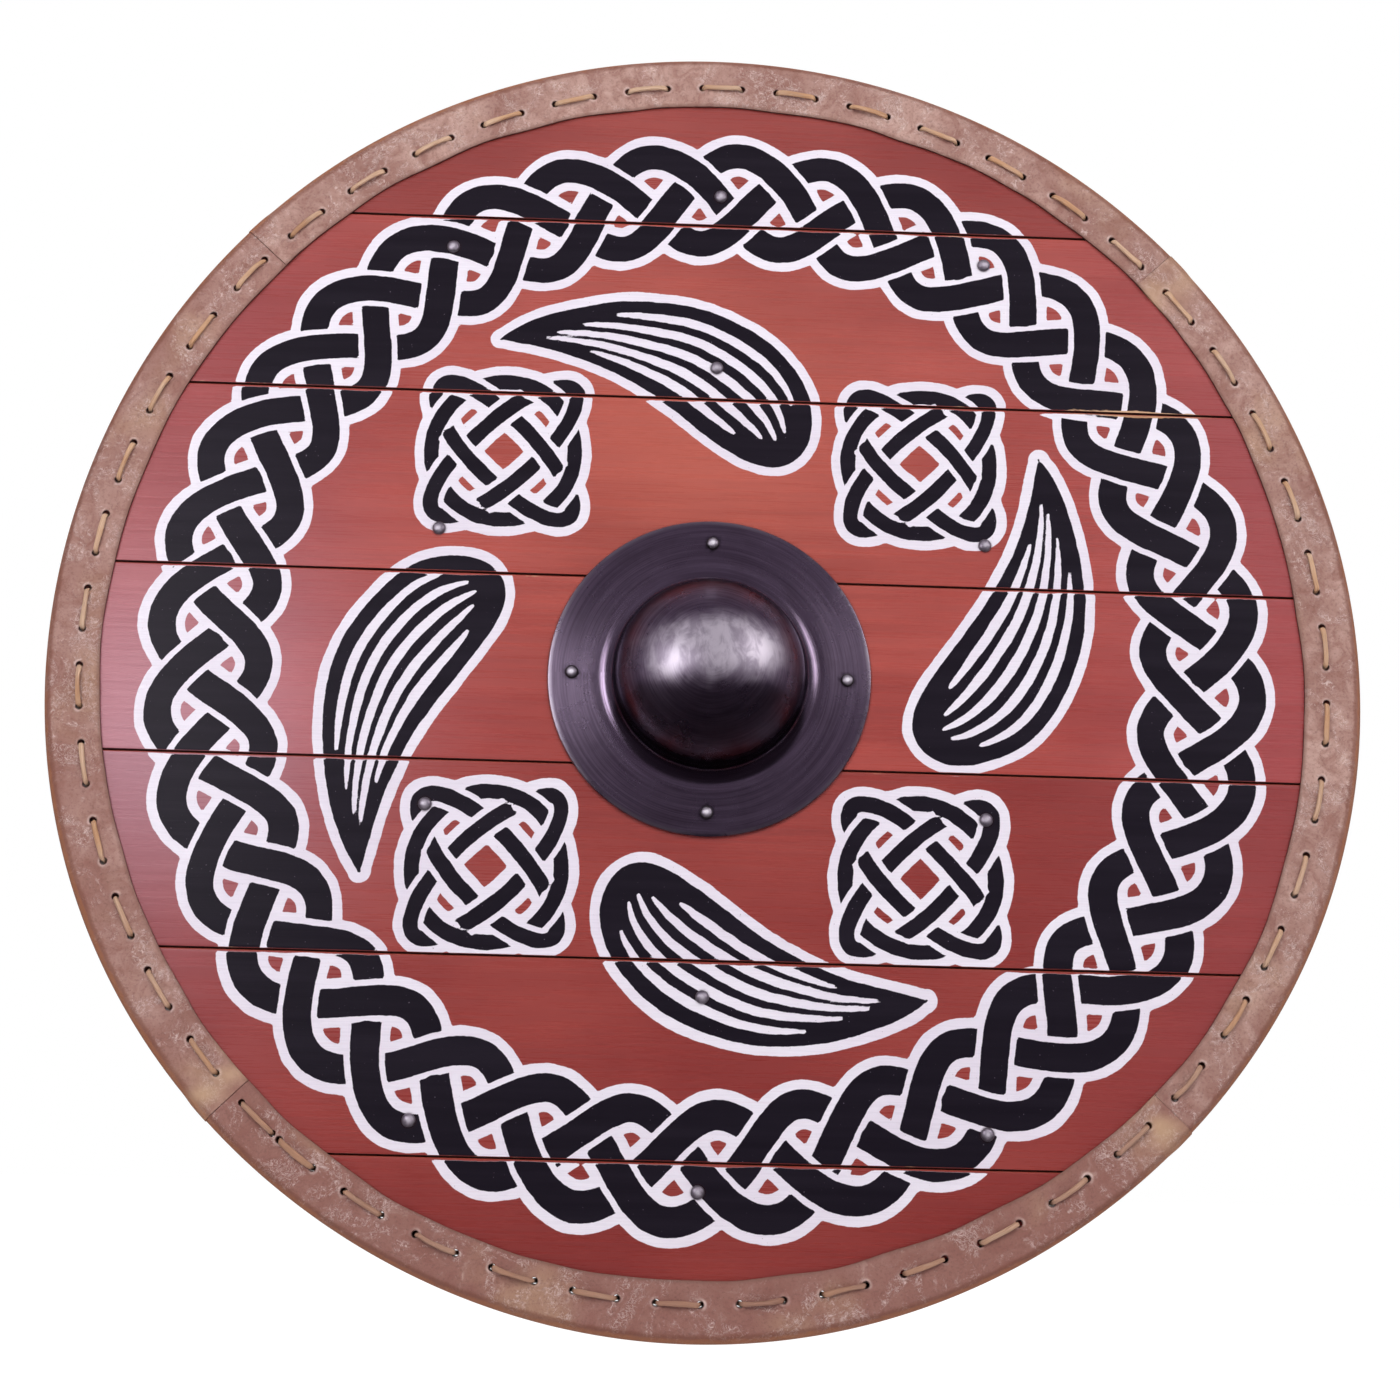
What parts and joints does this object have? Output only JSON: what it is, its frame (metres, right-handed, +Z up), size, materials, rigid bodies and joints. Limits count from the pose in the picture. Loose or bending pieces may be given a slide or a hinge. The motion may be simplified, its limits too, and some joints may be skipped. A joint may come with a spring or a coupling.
{
  "type": "round wooden shield",
  "caption": "Round plank shield of the Viking type with a domed steel boss over a hand hole, a nailed grip bar and battens, and a laced rawhide edging.",
  "frame": {"origin": "centre of the hand grip, behind the boss", "axes": "-Y out of the painted face along the boss axis, +Z up along the grip bar, +X to the right of someone facing the painted side"},
  "size_m": [0.8254, 0.0878, 0.8254],
  "materials": {
    "painted_planks": null,
    "bare_wood": "oiled",
    "rawhide": "matte, mottled",
    "lace": "matte",
    "boss_steel": "blackened, spun and polished",
    "nail_steel": "worn satin"
  },
  "bodies": {
    "root": {"plank_1": "painted_planks", "plank_2": "painted_planks", "plank_3": "painted_planks", "plank_4": "painted_planks", "plank_5": "painted_planks", "plank_6": "painted_planks", "plank_7": "painted_planks", "grip_bar": "bare_wood", "batten_left": "bare_wood", "batten_right": "bare_wood", "edging_bottom": "rawhide", "edging_right": "rawhide", "edging_top": "rawhide", "edging_left": "rawhide", "edging_lace": "lace", "boss": "boss_steel", "nail_bar_1": "nail_steel", "nail_bar_2": "nail_steel", "nail_bar_3": "nail_steel", "nail_bar_4": "nail_steel", "nail_left_batten_1": "nail_steel", "nail_left_batten_2": "nail_steel", "nail_left_batten_3": "nail_steel", "nail_left_batten_4": "nail_steel", "nail_right_batten_1": "nail_steel", "nail_right_batten_2": "nail_steel", "nail_right_batten_3": "nail_steel", "nail_right_batten_4": "nail_steel", "rove_bar_1": "nail_steel", "rove_bar_2": "nail_steel", "rove_bar_3": "nail_steel", "rove_bar_4": "nail_steel", "rove_left_batten_1": "nail_steel", "rove_left_batten_2": "nail_steel", "rove_left_batten_3": "nail_steel", "rove_left_batten_4": "nail_steel", "rove_right_batten_1": "nail_steel", "rove_right_batten_2": "nail_steel", "rove_right_batten_3": "nail_steel", "rove_right_batten_4": "nail_steel", "rivet_boss_top": "nail_steel", "rivet_boss_bottom": "nail_steel", "rivet_boss_left": "nail_steel", "rivet_boss_right": "nail_steel", "rove_boss_top": "nail_steel", "rove_boss_bottom": "nail_steel", "rove_boss_left": "nail_steel", "rove_boss_right": "nail_steel"}
  },
  "joints": []
}
